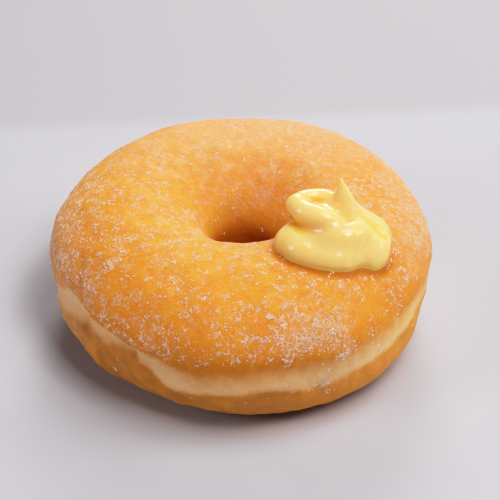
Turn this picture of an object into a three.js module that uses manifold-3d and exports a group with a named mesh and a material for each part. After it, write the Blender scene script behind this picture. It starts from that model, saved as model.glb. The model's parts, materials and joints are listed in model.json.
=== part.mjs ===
// A sugared yeast ring doughnut with a swirl of custard where its filling was piped in through the top.
// Units are millimetres. +Z is up, the ring's hole runs along Z, and the ring stands on the plane z = 0.
// Angles go anticlockwise round Z from +X, seen from above.
import * as THREE from "three";
import { mergeVertices } from "three/addons/utils/BufferGeometryUtils.js";
import Module from "manifold-3d";

const wasm = await Module();
wasm.setup();

// ---------- driving dimensions ----------

const GIRTH_RADIUS = 49.5; // the widest part of the dough, averaged round the ring
const GIRTH_HEIGHT = 23;
const CREST_RADIUS = 28; // the circle along the top of the ring
const CREST_HEIGHT = 39.6;
const NECK_RADIUS = 9; // the narrowest part of the hole
const NECK_HEIGHT = 15;
const FOOT_OUTER_RADIUS = 34; // the flat ring that the doughnut stands on
const FOOT_INNER_RADIUS = 19;

const DOME_FULLNESS = 2.05; // superellipse powers: 2 is a plain ellipse, more is squarer
const BELLY_FULLNESS = 2.4;
const FUNNEL_FULLNESS = 2.4;
const UNDERCUT_FULLNESS = 2;

const LOBES = 3; // the ring is a little three-sided, as hand-laid dough is
const LOBE_SWELL = 1.0;
const LOBE_ANGLE = THREE.MathUtils.degToRad(53);
const FOOT_SWELL = 1.6;
const FOOT_ANGLE = THREE.MathUtils.degToRad(-22);
const CREST_SWELL = 0.5;
const CREST_ANGLE = THREE.MathUtils.degToRad(-30);
const GIRTH_TILT = 0.7;
const AXIS_X = 0.86; // where the hole's axis stands, so that the uneven ring is centred on the origin
const AXIS_Y = 0.34;

const GROOVE_DEPTH = 0.7; // the shallow waist where the pale band lies between the two fried crusts
const GROOVE_HEIGHT = 20;
const GROOVE_SPREAD = 2.6;

const ROUND_STEPS = 72;
const DOME_STEPS = 11;
const BELLY_STEPS = 11;
const FUNNEL_STEPS = 8;
const UNDERCUT_STEPS = 6;

const STRAND_SIDES = 12;
const STRAND_CAP_STEPS = 3;
const STRAND_STEPS = 12;
const SEAT_GAP = 0.3; // clear space between the custard and the dough under it

// ---------- dough ----------

// Points of one superellipse quarter, from (level, rise) = (1, 0) to (0, 1), in the unit square.
function quarter(fullness, steps) {
  const power = 2 / fullness;
  return Array.from({ length: steps + 1 }, (_, step) => {
    const turn = (step / steps) * (Math.PI / 2);
    return { level: Math.cos(turn) ** power, rise: Math.sin(turn) ** power };
  });
}

const DOME = quarter(DOME_FULLNESS, DOME_STEPS);
const BELLY = quarter(BELLY_FULLNESS, BELLY_STEPS);
const FUNNEL = quarter(FUNNEL_FULLNESS, FUNNEL_STEPS);
const UNDERCUT = quarter(UNDERCUT_FULLNESS, UNDERCUT_STEPS);

// The ring's sizes at one angle: the dough swells and tilts a little as it goes round.
function sizesAt(angle) {
  return {
    girth: GIRTH_RADIUS + LOBE_SWELL * Math.cos(LOBES * (angle - LOBE_ANGLE)),
    girthHeight: GIRTH_HEIGHT + GIRTH_TILT * Math.cos(angle),
    crestHeight: CREST_HEIGHT + CREST_SWELL * Math.cos(2 * (angle - CREST_ANGLE)),
    footOuter: FOOT_OUTER_RADIUS + FOOT_SWELL * Math.cos(LOBES * (angle - FOOT_ANGLE)),
  };
}

// How far the waist is drawn in at a height. It fades out at the foot, which stays a true ring.
function grooveAt(height) {
  const offset = (height - GROOVE_HEIGHT) / GROOVE_SPREAD;
  return height > 0 ? GROOVE_DEPTH * Math.exp(-offset * offset) : 0;
}

// The closed outline of the dough cut by a half-plane at one angle, as (radius, height).
// It runs from the foot up the outside, over the crest, down the hole and back along the foot.
function doughSection(angle) {
  const { girth, girthHeight, crestHeight, footOuter } = sizesAt(angle);
  const belly = BELLY.map(({ level, rise }) => [
    footOuter + (girth - footOuter) * level,
    girthHeight * (1 - rise),
  ]).reverse();
  const dome = DOME.map(({ level, rise }) => [
    CREST_RADIUS + (girth - CREST_RADIUS) * level,
    girthHeight + (crestHeight - girthHeight) * rise,
  ]);
  const funnel = FUNNEL.map(({ level, rise }) => [
    CREST_RADIUS - (CREST_RADIUS - NECK_RADIUS) * level,
    NECK_HEIGHT + (crestHeight - NECK_HEIGHT) * rise,
  ]).reverse();
  const undercut = UNDERCUT.map(({ level, rise }) => [
    FOOT_INNER_RADIUS - (FOOT_INNER_RADIUS - NECK_RADIUS) * level,
    NECK_HEIGHT * (1 - rise),
  ]);
  const outside = [...belly, ...dome.slice(1)].map(([radius, height]) => [
    radius - grooveAt(height),
    height,
  ]);
  return [...outside, ...funnel.slice(1), ...undercut.slice(1), outside[0]].map(
    ([radius, height]) => new THREE.Vector2(radius, height),
  );
}

// A lathe turned about Z whose section changes with the angle.
function doughGeometry() {
  const pointCount = doughSection(0).length;
  const geometry = new THREE.LatheGeometry(doughSection(0), ROUND_STEPS);
  const position = geometry.getAttribute("position");
  for (let step = 0; step <= ROUND_STEPS; step += 1) {
    const angle = ((step % ROUND_STEPS) / ROUND_STEPS) * 2 * Math.PI;
    doughSection(angle).forEach((point, index) => {
      position.setXYZ(
        step * pointCount + index,
        point.x * Math.cos(angle),
        point.x * Math.sin(angle),
        point.y,
      );
    });
  }
  return geometry;
}

// ---------- custard ----------

// Each strand is a run of [x, y, z, radius]: its centreline and how thick the custard is there.
const CUSTARD_STRANDS = {
  body: [
    [11.8, -21.3, 39.9, 4.4],
    [13.8, -23.8, 39.9, 4.3],
    [17, -25.8, 39.4, 3.9],
    [20.9, -26.8, 39.3, 3.8],
    [24.8, -26.2, 39.1, 3.8],
    [27.4, -25, 39, 3.6],
  ],
  shoulder: [
    [13.5, -18, 39.6, 4.2],
    [17, -18.5, 39.3, 4.8],
    [20.2, -19, 39.1, 5.2],
  ],
  core: [
    [18.5, -18, 38.3, 4.8],
    [22.2, -18.5, 38.5, 5.2],
    [25.7, -18.5, 38.8, 5.8],
    [28.7, -17, 38, 5.4],
  ],
  tier: [
    [16.9, -20.6, 41.2, 3],
    [19.5, -22.6, 42.1, 3.5],
    [22.6, -23.5, 42.8, 3.8],
    [25.6, -23, 43, 3.9],
    [27.9, -21, 42.4, 3.9],
  ],
  rightLobe: [
    [27, -15.8, 42.3, 3.6],
    [29.4, -17.5, 40.4, 4.8],
    [31.3, -19.3, 38.8, 5.2],
    [31.8, -21.2, 37.8, 4.8],
  ],
  rightRidge: [
    [27, -13.5, 44.4, 2.3],
    [29.4, -12.6, 41.5, 2.4],
    [32, -12.4, 39, 2.5],
    [33.9, -13, 37.1, 2.8],
    [34.2, -15, 36.4, 2.6],
  ],
  foldFront: [
    [13.2, -15.9, 47.7, 2.7],
    [14.8, -18.4, 47.4, 2.9],
    [17.7, -19.8, 47, 2.9],
    [20.4, -20.6, 46.5, 2.8],
    [22.5, -20.9, 45.1, 2.3],
  ],
  foldBack: [
    [13.2, -15.9, 47.7, 2.7],
    [14.7, -13.4, 47.8, 2.1],
    [17.4, -12.2, 47.7, 1.9],
    [20.2, -12.2, 47.4, 2.1],
    [22.9, -13.5, 46.4, 2.6],
  ],
  foldFloor: [
    [16, -15.4, 45.2, 2.6],
    [19, -15.9, 45.1, 2.9],
    [22.5, -16.4, 44.8, 3.3],
  ],
  peak: [
    [25, -17.2, 43.3, 2],
    [24.7, -15.7, 46.5, 3.1],
    [24.7, -15.3, 48.4, 2.7],
    [24.4, -15.4, 51.5, 1.5],
    [24.1, -15.6, 54, 0.65],
    [23.9, -15.8, 56, 0.15],
  ],
};

// A capsule bent along a smooth curve, with its thickness following the run's radii.
function strandGeometry(run) {
  const path = new THREE.CatmullRomCurve3(run.map(([x, y, z]) => new THREE.Vector3(x, y, z)));
  const thickness = new THREE.CatmullRomCurve3(
    run.map((point, index) => new THREE.Vector3(index, point[3], 0)),
  );
  const frames = path.computeFrenetFrames(STRAND_STEPS, false);
  const geometry = new THREE.CapsuleGeometry(1, 1, STRAND_CAP_STEPS, STRAND_SIDES, STRAND_STEPS);
  const position = geometry.getAttribute("position");
  for (let index = 0; index < position.count; index += 1) {
    const along = THREE.MathUtils.clamp(position.getY(index) + 0.5, 0, 1);
    const overshoot = position.getY(index) + 0.5 - along;
    const radius = thickness.getPoint(path.getUtoTmapping(along)).y;
    const frame = Math.round(along * STRAND_STEPS);
    const place = path
      .getPointAt(along)
      .addScaledVector(frames.tangents[frame], overshoot * radius)
      .addScaledVector(frames.binormals[frame], position.getX(index) * radius)
      .addScaledVector(frames.normals[frame], position.getZ(index) * radius);
    position.setXYZ(index, place.x, place.y, place.z);
  }
  return geometry;
}

// ---------- solids ----------

function solidOf(geometry) {
  geometry.deleteAttribute("normal");
  geometry.deleteAttribute("uv");
  const merged = mergeVertices(geometry, 1e-4);
  const solid = new wasm.Manifold(
    new wasm.Mesh({
      numProp: 3,
      vertProperties: merged.getAttribute("position").array,
      triVerts: new Uint32Array(merged.index.array),
    }),
  );
  if (solid.volume() > 0) return solid;
  throw new Error("a solid's faces point inwards");
}

function geometryOf(solid) {
  const mesh = solid.getMesh();
  const geometry = new THREE.BufferGeometry();
  geometry.setAttribute("position", new THREE.BufferAttribute(mesh.vertProperties, mesh.numProp));
  geometry.setIndex(new THREE.BufferAttribute(mesh.triVerts, 1));
  geometry.computeVertexNormals();
  return geometry;
}

function custardSolid(dough) {
  const strands = Object.values(CUSTARD_STRANDS).map((run) => solidOf(strandGeometry(run)));
  const swirl = strands.reduce((joined, strand) => joined.add(strand));
  return swirl.subtract(dough.translate([0, 0, SEAT_GAP]));
}

// ---------- the doughnut ----------

const doughSolid = solidOf(doughGeometry());

const fried = new THREE.MeshStandardMaterial({ color: 0xe39a3c, roughness: 0.6, metalness: 0 });
const custardYellow = new THREE.MeshStandardMaterial({ color: 0xf3d983, roughness: 0.2, metalness: 0 });

const doughRing = new THREE.Mesh(geometryOf(doughSolid), fried);
doughRing.name = "dough_ring";

const custardSwirl = new THREE.Mesh(geometryOf(custardSolid(doughSolid)), custardYellow);
custardSwirl.name = "custard_swirl";

const doughnut = new THREE.Group();
doughnut.add(doughRing, custardSwirl);
doughnut.position.set(AXIS_X, AXIS_Y, 0);

export default doughnut;
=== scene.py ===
# A sugared yeast ring doughnut with a swirl of custard where its filling was piped in.
# The script is laid out as a Blender add-on: sizes and finishes are properties, each kind of
# piece has its operator, and main() runs them in order. Blender works in metres; the shapes
# are worked out in millimetres round the ring's own axis and then put in place.
import itertools
import json
import math

import bpy
import numpy as np
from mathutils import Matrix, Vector

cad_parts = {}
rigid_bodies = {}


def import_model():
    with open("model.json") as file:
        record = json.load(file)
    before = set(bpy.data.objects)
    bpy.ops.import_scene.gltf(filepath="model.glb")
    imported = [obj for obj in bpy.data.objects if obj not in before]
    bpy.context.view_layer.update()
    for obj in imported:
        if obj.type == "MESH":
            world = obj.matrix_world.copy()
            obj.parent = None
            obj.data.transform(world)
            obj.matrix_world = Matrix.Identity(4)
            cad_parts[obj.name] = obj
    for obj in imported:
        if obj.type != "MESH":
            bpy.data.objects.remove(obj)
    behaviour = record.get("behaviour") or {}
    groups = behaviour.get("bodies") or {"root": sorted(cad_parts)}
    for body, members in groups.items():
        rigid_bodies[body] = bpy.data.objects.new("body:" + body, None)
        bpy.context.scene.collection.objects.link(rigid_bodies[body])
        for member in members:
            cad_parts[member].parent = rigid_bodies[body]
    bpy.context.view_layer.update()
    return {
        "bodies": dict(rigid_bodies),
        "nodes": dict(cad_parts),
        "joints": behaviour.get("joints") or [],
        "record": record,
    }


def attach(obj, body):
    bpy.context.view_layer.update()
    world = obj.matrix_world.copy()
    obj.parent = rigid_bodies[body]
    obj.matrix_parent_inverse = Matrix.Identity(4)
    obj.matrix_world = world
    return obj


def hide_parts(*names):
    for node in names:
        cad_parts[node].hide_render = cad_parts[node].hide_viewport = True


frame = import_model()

bl_info = {
    "name": "Custard ring doughnut",
    "version": (1, 0, 0),
    "blender": (4, 5, 0),
    "location": "3D View > Sidebar > Doughnut",
    "description": "Builds a sugared ring doughnut with piped custard",
    "category": "Add Mesh",
}

MM = 0.001
AXIS = np.array([0.86, 0.34, 0.0])  # where the hole's axis stands, in millimetres
BODY = "root"

# ---------- the ring's form, in millimetres ----------

FOOT_INNER_RADIUS = 19.0
FOOT_OUTER_RADIUS = 34.0
GIRTH_HEIGHT = 23.0
NECK_HEIGHT = 15.0
DOME_FULLNESS = 2.05  # superellipse powers: 2 is a plain ellipse, more is squarer
BELLY_FULLNESS = 2.4
FUNNEL_FULLNESS = 2.4
UNDERCUT_FULLNESS = 2.0

# How the ring swells going round: number of swells, how much, and the angle where one peaks.
GIRTH_SWELL = ((2, 0.37, 109.0), (3, 1.0, 53.0), (4, 0.38, -11.0))
GIRTH_TILT = ((1, 0.73, -11.0), (2, 0.3, 50.0))
CREST_SWELL = ((1, 0.3, 108.0), (2, 0.55, -30.0))
FOOT_SWELL = ((1, 0.5, -12.0), (2, 0.85, -15.0), (3, 1.7, -22.5))

# How many quads the section has on each of its runs.
SECTION_STEPS = {"foot": 10, "belly": 46, "dome": 52, "funnel": 44, "undercut": 20}
ROUND_STEPS = 576

# Heights of the pale band's two edges, every few degrees round the ring. Angles go
# anticlockwise from +X seen from above, and -90 is the front.
BAND_LOWER = (
    (-180, 13.0), (-167, 14.4), (-160, 15.0), (-154, 17.3), (-149, 18.4), (-143, 18.8),
    (-136, 19.0), (-129, 20.2), (-125, 19.8), (-121, 18.6), (-118, 15.6), (-115, 13.3),
    (-112, 12.4), (-106, 12.8), (-99, 14.5), (-91, 15.8), (-83, 17.3), (-74, 15.2),
    (-65, 15.0), (-59, 16.0), (-51, 16.0), (-43, 16.8), (-33, 18.4), (-23, 20.6),
    (-5, 19.5), (20, 18.2), (60, 17.4), (95, 18.6), (135, 17.2), (165, 14.5),
)
BAND_UPPER = (
    (-180, 17.0), (-171, 17.3), (-168, 18.4), (-163, 21.0), (-160, 23.0), (-156, 24.0),
    (-151, 23.2), (-145, 21.8), (-140, 22.4), (-136, 22.6), (-131, 21.6), (-125, 21.4),
    (-117, 22.6), (-110, 21.0), (-104, 20.6), (-98, 22.0), (-88, 24.2), (-79, 24.7),
    (-66, 24.9), (-59, 24.6), (-47, 25.2), (-33, 26.2), (-20, 27.0), (5, 25.4),
    (45, 23.8), (90, 24.8), (130, 23.6), (160, 19.5),
)
# How far up the crust it takes the band to fade out: little on the left, where the crust overhangs.
BAND_FADE = ((-180, 2.5), (-162, 2.0), (-150, 1.2), (-124, 1.0), (-114, 4.0), (-100, 7.0),
             (-60, 7.5), (-40, 8.0), (-20, 7.0), (20, 5.0), (90, 4.0), (140, 4.0))
# How much browner the crust is just above the band.
TOASTING = ((-180, 0.15), (-150, 0.2), (-107, 0.5), (-90, 0.35), (-78, 0.1), (-62, 0.0),
            (-20, 0.05), (40, 0.4), (90, 0.7), (140, 0.8))
# How brown the lower crust is.
LOWER_TOASTING = ((-180, 0.7), (-150, 0.9), (-128, 0.85), (-107, 0.6), (-84, 0.45), (-70, 0.1),
                  (-45, 0.1), (-30, 0.1), (40, 0.5), (90, 0.7), (140, 0.6))
# How deep the waist along the band is.
GROOVE_DEPTH = ((-180, 1.3), (-163, 1.9), (-150, 1.7), (-122, 1.3), (-106, 0.7), (-60, 0.5),
                (0, 0.6), (90, 0.8))
FRYING_SIDE = np.array([0.6, 0.8, 0.0])  # the side of the ring that is fried the most

# Unevenness in layers: how strong each is, the size of its cells and its seed.
UPRIGHT = np.array([1.0, 1.0, 0.35])  # draws noise out up and down the side, like fine pleats
RISEN_DOUGH = ((0.45, 17.0, 11), (0.33, 7.5, 12), (0.17, 3.6, 13), (0.07, 1.7, 14))
CRINKLES = ((0.22, 4.2, 15), (0.12, 2.0, 16))
FINE_PLEATS = ((0.16, 2.4, 17),)
BROWN_MOTTLE = ((0.5, 5.0, 18), (0.5, 2.4, 19))
BROWN_STREAKS = ((0.5, 2.0, 20),)
SUGAR_DRIFTS = ((0.35, 6.0, 21), (0.35, 2.6, 22), (0.8, 1.25, 23))

# Colours of the crust apart from its golden top.
HOLE_WALL = (0.74, 0.385, 0.035)
LOWER_CRUST = (0.80, 0.335, 0.055)
LOWER_BROWN = (0.57, 0.23, 0.042)
# Painted contact shade round the custard's foot, which also stands for moist crust.
SHADED_MOIST_CRUST = (0.42, 0.12, 0.001)

# Folds and dents: a path of points, how wide the furrow is and how deep (a swell is below 0).
FURROWS = (
    ("shoulder dimple", ((-42.0, -17.6, 33.0), (-41.6, -19.4, 32.2)), 1.8, 0.6),
    ("band notch", ((-29.4, -39.0, 23.2), (-27.6, -40.4, 19.6)), 1.1, 1.1),
    ("left pleat", ((-41.0, -26.6, 20.6), (-40.4, -27.6, 17.2)), 1.2, 0.8),
    ("left pleat low", ((-37.5, -31.0, 17.5), (-35.6, -32.2, 13.2)), 1.4, 0.45),
    ("front pleat", ((-24.2, -43.0, 17.6), (-22.6, -42.6, 13.0)), 1.6, 0.4),
    ("right dimple", ((42.4, -16.4, 33.0), (43.2, -18.2, 32.2)), 3.2, 0.6),
    ("top dimple", ((-22.0, -30.5, 38.6), (-18.0, -33.0, 38.4)), 3.6, 0.35),
    ("back dimple", ((10.0, 36.0, 38.2), (17.0, 33.0, 38.4)), 4.0, 0.5),
    ("right foot", ((40.5, -25.0, 9.0), (32.0, -35.0, 8.0)), 6.0, -0.25),
    ("left foot", ((-47.5, -10.2, 14.0), (-44.6, -17.9, 11.4), (-40.4, -24.4, 10.2),
                   (-36.5, -29.0, 9.0)), 5.5, -1.0),
    ("back left swell", ((-29.4, 27.5, 37.2), (-21.5, 33.8, 37.3)), 7.0, -0.7),
    ("right swell", ((49.0, -5.0, 27.0), (47.5, -13.0, 27.0)), 7.5, -0.75),
)
# Left of this line the side of the ring falls back, as if the dough had slumped forward there.
SHOULDER_LINE = ((-41.8, -17.5, 33.2), (-41.2, -21.0, 31.4), (-40.8, -24.3, 29.0),
                 (-40.2, -26.4, 27.0), (-39.2, -28.8, 23.8))
SHOULDER_STEP = 0.7
SHOULDER_REACH = 5.0

# Where sugar lies thicker, or thinner if below 0: a point, how far that reaches and how much.
SUGAR_PATCHES = (
    ((13.4, -45.5, 32.3), 4.0, 1.2), ((22.3, -44.8, 28.5), 4.5, 1.6),
    ((29.6, -41.2, 26.0), 3.5, 1.2), ((7.0, -47.0, 31.5), 5.5, 1.4),
    ((38.8, -31.7, 26.0), 3.0, 1.2), ((24.8, -44.2, 24.0), 2.6, 1.6),
    ((-10.8, -47.9, 28.5), 3.6, -1.0), ((-30.5, -38.0, 24.0), 3.0, 1.5),
    ((-24.0, -42.8, 24.5), 3.0, 1.6), ((-19.5, -45.5, 24.0), 3.0, 0.9),
    ((-40.0, -26.5, 28.0), 1.6, 2.6), ((-41.6, -21.5, 31.0), 1.5, 1.8),
    ((-36.0, -32.6, 26.0), 1.8, 1.4), ((-27.7, -39.4, 29.0), 5.0, 0.2),
    ((20.0, -46.5, 15.6), 1.5, 9.0), ((21.0, -45.6, 12.4), 1.1, 7.0),
    ((16.6, -47.6, 15.0), 0.9, 5.0), ((29.4, -41.4, 18.6), 0.9, 5.0),
    ((31.8, -39.6, 19.6), 0.7, 4.0), ((-10.1, -1.4, 29.0), 3.0, 1.0),
    ((-2.0, -13.5, 34.0), 6.0, 0.7), ((13.5, -35.9, 38.1), 4.0, 0.7),
    ((-31.7, -27.2, 34.4), 4.0, 0.8), ((-27.0, -18.0, 38.9), 4.0, 0.6),
    ((-20.3, -31.2, 37.2), 4.0, 0.6), ((-35.2, -30.8, 28.7), 3.5, 0.8),
    ((20.5, -42.5, 33.5), 3.5, 1.3), ((13.0, -47.5, 28.5), 3.5, 1.0),
    ((-45.5, -17.0, 26.0), 3.0, 1.2), ((45.5, -7.0, 32.5), 5.0, 1.0),
    ((42.0, 4.0, 36.0), 6.0, 0.7), ((-16.4, 6.4, 37.9), 4.0, -0.6),
    ((-36.0, -12.2, 37.5), 4.0, -0.3), ((45.5, -17.5, 27.5), 3.5, -0.7),
    ((31.5, -35.0, 31.5), 4.5, -0.8),
)
SUGAR_LIMIT = (0.08, 2.4)  # the thinnest and the thickest the sugar can lie
HOLE_REACH = 24.0  # inside this radius the crust counts as the hole's
HOLE_LIP = 38.0  # the height from which the depth in the hole is measured
RELIEF_REACH = 4.0  # further than this from the smooth ring, its unevenness no longer matters

# Custard strands: centreline points and the custard's radius at each.
CUSTARD_STRANDS = {
    "body": ((11.8, -21.3, 39.9, 4.4), (13.8, -23.8, 39.9, 4.3), (17.0, -25.8, 39.4, 3.9),
             (20.9, -26.8, 39.3, 3.8), (24.0, -26.4, 39.1, 3.8), (25.8, -25.3, 39.0, 3.7)),
    "shoulder": ((13.5, -18.0, 39.6, 4.2), (17.0, -18.5, 39.3, 4.8), (20.2, -19.0, 39.1, 5.2)),
    "core": ((18.5, -18.0, 38.3, 4.8), (22.2, -18.5, 38.5, 5.2), (25.7, -18.5, 38.8, 5.8),
             (28.7, -17.0, 38.0, 5.4)),
    "tier": ((16.9, -20.6, 41.2, 3.0), (19.5, -22.6, 42.1, 3.5), (22.6, -23.5, 42.8, 3.8),
             (25.6, -23.0, 43.0, 3.9), (27.9, -21.0, 42.4, 3.9)),
    "right_lobe": ((27.0, -15.8, 42.3, 3.6), (29.4, -17.5, 40.4, 4.8), (31.3, -19.3, 38.8, 5.2),
                   (31.2, -21.4, 37.7, 5.0), (30.6, -22.6, 37.2, 4.7)),
    "right_ridge": ((27.0, -13.5, 44.4, 2.3), (29.4, -12.6, 41.5, 2.4),
                    (31.8, -12.3, 39.2, 2.8), (33.3, -13.2, 37.6, 3.3),
                    (33.8, -15.4, 36.8, 3.3)),
    "fold_front": ((13.2, -15.9, 47.7, 2.7), (14.8, -18.4, 47.4, 2.9), (17.7, -19.8, 47.0, 2.9),
                   (20.4, -20.6, 46.5, 2.8), (22.5, -20.9, 45.1, 2.3)),
    "fold_back": ((13.2, -15.9, 47.7, 2.7), (14.7, -13.4, 47.8, 2.1), (17.4, -12.2, 47.7, 1.9),
                  (20.2, -12.2, 47.4, 2.1), (22.9, -13.5, 46.4, 2.6)),
    "fold_floor": ((13.8, -16.0, 44.6, 1.9), (16.0, -15.6, 45.1, 2.5), (19.0, -15.9, 45.1, 2.9),
                   (22.5, -16.4, 44.8, 3.3)),
    "peak": ((25.0, -17.2, 43.3, 2.0), (24.7, -15.7, 46.5, 3.1), (24.7, -15.3, 48.4, 2.7),
             (24.4, -15.4, 51.5, 1.5), (24.1, -15.6, 54.0, 0.65), (23.9, -15.8, 56.0, 0.15)),
    "pocket": ((30.5, -17.5, 45.2, 0.5), (31.9, -18.6, 44.5, 1.2), (33.4, -19.4, 43.2, 1.3),
               (34.5, -20.2, 41.9, 0.5)),
    "crease": ((29.2, -25.8, 45.4, 0.4), (28.0, -27.8, 43.2, 0.6), (27.0, -29.6, 41.0, 0.6),
               (26.8, -31.0, 38.6, 0.4)),
}
# How the strands flow into each other, in order: strand, how, and over what distance.
CUSTARD_STEPS = (
    ("body", "join", 0.0), ("core", "join", 2.0), ("shoulder", "join", 2.0),
    ("tier", "join", 2.2), ("right_lobe", "join", 1.8), ("right_ridge", "join", 2.0),
    ("fold_floor", "join", 1.5), ("fold_front", "join", 1.9), ("fold_back", "join", 0.8),
    ("peak", "join", 1.6), ("pocket", "cut", 3.2), ("crease", "cut", 1.5),
)
STRAND_STEPS = 8  # how many straight runs there are between two of a strand's points
STRAND_REACH = 4.1  # how far beyond a strand its shape still matters
OUT_OF_REACH = 6.0  # the distance that stands for anything further away
CUSTARD_BOTTOM = 33.0  # no custard lies below this height
CUSTARD_MARGIN = 1.0  # how far the grid that its surface is found on reaches past it
CUSTARD_SINK = 0.9  # how far the custard's underside lies in the crust
CUSTARD_LIFT = 0.1  # how far the crust it curves out onto counts as lower than it is
CUSTARD_FILLET = 0.7  # how far from its side the custard curves out onto the crust
UNDERSIDE_ROUNDING = 0.3
RIM_REACH = 2.6  # how far from the custard the crust is taken as moist, with less sugar on it, and given a painted contact shade
RIM_STRENGTH = 0.95
RIM_FRONT = (-17.0, -27.0)  # between these depths the painted contact shade comes in towards the front
FOLD_REACH = 2.4  # how far out from the custard it is tested for a neighbouring fold


# ---------- properties ----------


class DoughSizes(bpy.types.PropertyGroup):
    girth_radius: bpy.props.FloatProperty(
        name="Girth radius", description="Mean radius of the widest part of the ring",
        default=0.0498, unit="LENGTH")
    crest_radius: bpy.props.FloatProperty(
        name="Crest radius", description="Radius of the circle along the top of the ring",
        default=0.028, unit="LENGTH")
    crest_height: bpy.props.FloatProperty(
        name="Crest height", description="Mean height of the top of the ring",
        default=0.0397, unit="LENGTH")
    neck_radius: bpy.props.FloatProperty(
        name="Hole radius", description="Radius of the narrowest part of the hole",
        default=0.009, unit="LENGTH")
    puff: bpy.props.FloatProperty(
        name="Puffiness", description="How uneven the risen dough is",
        default=1.0, min=0.0, subtype="FACTOR")


class CustardSizes(bpy.types.PropertyGroup):
    cell: bpy.props.FloatProperty(
        name="Mesh cell", description="Size of the cells the custard's surface is found in",
        default=0.00028, unit="LENGTH")


class SugarAmounts(bpy.types.PropertyGroup):
    crystals: bpy.props.IntProperty(
        name="Crystals", description="Number of large sugar crystals", default=5200, min=0)
    grains: bpy.props.IntProperty(
        name="Grains", description="Number of middling sugar grains", default=12000, min=0)
    dust: bpy.props.IntProperty(
        name="Dust", description="Number of the finest sugar grains", default=38000, min=0)


class Finishes(bpy.types.PropertyGroup):
    golden: bpy.props.FloatVectorProperty(
        name="Golden crust", description="Colour of the well-fried crust",
        default=(0.79, 0.302, 0.026), subtype="COLOR", min=0, max=1)
    toasted: bpy.props.FloatVectorProperty(
        name="Toasted crust", description="Colour of the darker, browner crust",
        default=(0.66, 0.25, 0.014), subtype="COLOR", min=0, max=1)
    # Painted shade: the dark crust colour deep in the hole stands in for the shade there.
    hole: bpy.props.FloatVectorProperty(
        name="Hole crust", description="Colour of the dark crust deep in the hole",
        default=(0.46, 0.12, 0.003), subtype="COLOR", min=0, max=1)
    pale: bpy.props.FloatVectorProperty(
        name="Pale band", description="Colour of the band that stays out of the oil",
        default=(0.86, 0.565, 0.29), subtype="COLOR", min=0, max=1)
    custard: bpy.props.FloatVectorProperty(
        name="Custard", description="Colour of the custard",
        default=(0.99, 0.61, 0.255), subtype="COLOR", min=0, max=1)
    # Painted shade: a deeper yellow for the custard's folds, undersides and foot, where it lies in
    # shade.
    custard_fold_shade: bpy.props.FloatVectorProperty(
        name="Custard folds", description="Deeper colour of the custard in its folds",
        default=(0.995, 0.565, 0.06), subtype="COLOR", min=0, max=1)
    sugar: bpy.props.FloatVectorProperty(
        name="Sugar", description="Colour of the sugar crystals",
        default=(0.79, 0.54, 0.48), subtype="COLOR", min=0, max=1)
    # Also the colour of the painted sheen at the back and on the sides.
    powder: bpy.props.FloatVectorProperty(
        name="Sugar powder", description="Colour of the crust where fine sugar powder veils it",
        default=(0.78, 0.53, 0.41), subtype="COLOR", min=0, max=1)
    clear_sugar: bpy.props.FloatVectorProperty(
        name="Clear sugar", description="Colour of a clear crystal with the crust showing through",
        default=(0.78, 0.42, 0.24), subtype="COLOR", min=0, max=1)
    # Painted light: a whiter, brighter sugar colour for grains low down and on the left, where they
    # lie in shade.
    shade_lifted_sugar: bpy.props.FloatVectorProperty(
        name="Lumped sugar", description="Colour of the whiter lumps low down on the crust",
        default=(0.93, 0.70, 0.53), subtype="COLOR", min=0, max=1)
    floor: bpy.props.FloatVectorProperty(
        name="Floor", description="Colour of the studio floor",
        default=(0.486, 0.475, 0.505), subtype="COLOR", min=0, max=1)


# ---------- shared helpers ----------


def lattice_noise(points, size, seed):
    """Smooth noise from -1 to 1 at each point, in cells of the given size."""
    rng = np.random.default_rng(seed)
    order = rng.permutation(256)
    values = rng.uniform(-1.0, 1.0, 256)
    cell = points / size
    base = np.floor(cell).astype(np.int64)
    part = cell - base
    blend = part * part * (3.0 - 2.0 * part)
    total = np.zeros(len(points))
    for corner in itertools.product((0, 1), repeat=3):
        place = (base + corner) & 255
        key = order[(order[(order[place[:, 0]] + place[:, 1]) & 255] + place[:, 2]) & 255]
        weight = np.prod(np.where(corner, blend, 1.0 - blend), axis=1)
        total += weight * values[key]
    return total


def layered_noise(points, layers):
    return sum(strength * lattice_noise(points, size, seed) for strength, size, seed in layers)


def around(table, degrees):
    """Values of a table of (angle, value) at any angle, running smoothly round the ring."""
    angles, values = np.array(table).T
    fine = np.arange(-180.0, 180.0, 0.5)
    wave = np.interp(fine, angles, values, period=360.0)
    kernel = np.exp(-(np.arange(-12, 13) / 4.0) ** 2)
    wave = np.convolve(np.r_[wave[-12:], wave, wave[:12]], kernel / kernel.sum(), "valid")
    return np.interp(degrees, fine, wave, period=360.0)


def to_path(points, path):
    """Distance of each point from a path, and where along it (0 to 1) the nearest place is."""
    path = np.array(path, float)[:, :3]
    nearest = np.full(len(points), np.inf)
    along = np.zeros(len(points))
    for step, (start, end) in enumerate(zip(path[:-1], path[1:])):
        run = end - start
        share = np.clip((points - start) @ run / (run @ run), 0.0, 1.0)
        gap = np.linalg.norm(points - start - share[:, None] * run, axis=1)
        closer = gap < nearest
        nearest[closer] = gap[closer]
        along[closer] = (step + share[closer]) / (len(path) - 1)
    return nearest, along


def smooth_step(value, low, high):
    """A smooth change from 0 at low to 1 at high; low may be above high."""
    share = np.clip((value - low) / (high - low), 0.0, 1.0)
    return share * share * (3.0 - 2.0 * share)


def across(points):
    """Each point's distance from the ring's axis."""
    return np.hypot(points[:, 0], points[:, 1])


def turn_of(points):
    """Each point's angle round the ring, in degrees."""
    return np.degrees(np.arctan2(points[:, 1], points[:, 0]))


def tinted(colour, gains):
    return tuple(part * gain for part, gain in zip(colour, gains))


def rings_of(radius, angle, height):
    """A grid of points round the ring's axis; the three spread over each other."""
    return np.stack(np.broadcast_arrays(radius * np.cos(angle), radius * np.sin(angle), height), 2)


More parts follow.
